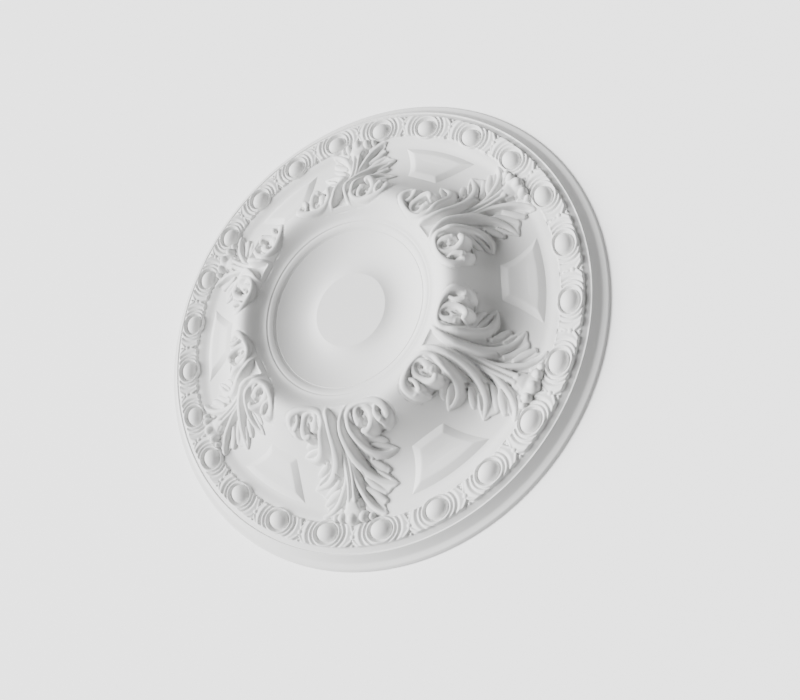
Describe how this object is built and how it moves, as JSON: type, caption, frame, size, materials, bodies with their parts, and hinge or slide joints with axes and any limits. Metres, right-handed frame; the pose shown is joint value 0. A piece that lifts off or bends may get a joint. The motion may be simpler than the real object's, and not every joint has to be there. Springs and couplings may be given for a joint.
{
  "type": "ceiling rose",
  "caption": "Round moulded ceiling rose with a dished centre, a high ring hung with acanthus sprays, raised panels and an egg-and-dart border.",
  "frame": {"origin": "middle of the flat back, which is bedded against the ceiling", "axes": "+Z out of the carved face, along the rose's middle axis; the middle line of one acanthus spray lies along -Y. The rose lies on its back; in use it is turned over, so that +Z points down from the ceiling"},
  "size_m": [0.7, 0.7, 0.0744],
  "materials": {
    "primed_white": "matt"
  },
  "bodies": {
    "root": {"ceiling_rose": "primed_white"}
  },
  "joints": []
}
